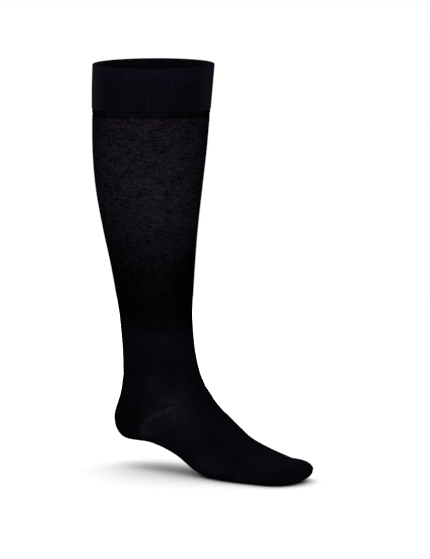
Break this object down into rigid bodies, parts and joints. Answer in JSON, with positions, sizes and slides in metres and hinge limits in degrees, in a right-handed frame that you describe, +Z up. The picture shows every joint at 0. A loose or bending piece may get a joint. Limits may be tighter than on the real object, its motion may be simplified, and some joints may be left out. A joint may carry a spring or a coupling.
{
  "type": "compression stocking",
  "caption": "Knee-high compression stocking, knitted in the round with a doubled top band, heel pocket and closed toe, filled out as on a leg with the heel raised.",
  "frame": {"origin": "centre of the leg opening, level with the band's top edge, where the wearer's calf holds the stocking up", "axes": "+Z up, along the leg and out of the opening; +X towards the toe; +Y across the foot, about which the stocking is symmetric"},
  "size_m": [0.2577, 0.1304, 0.4261],
  "materials": {
    "band_knit": "smooth matte double-layer elastic knit, dark navy",
    "leg_knit": "fine heathered knit, black with violet-grey flecks, darkening to black towards the ankle",
    "ankle_knit": "dense plain knit, very dark violet-navy",
    "heel_knit": "reinforced plain knit, near black",
    "foot_knit": "plain knit, very dark violet-navy",
    "toe_knit": "smooth reinforced knit, dark navy"
  },
  "bodies": {
    "root": {"top_band": "band_knit", "leg": "leg_knit", "ankle": "ankle_knit", "heel": "heel_knit", "foot": "foot_knit", "toe": "toe_knit"}
  },
  "joints": []
}
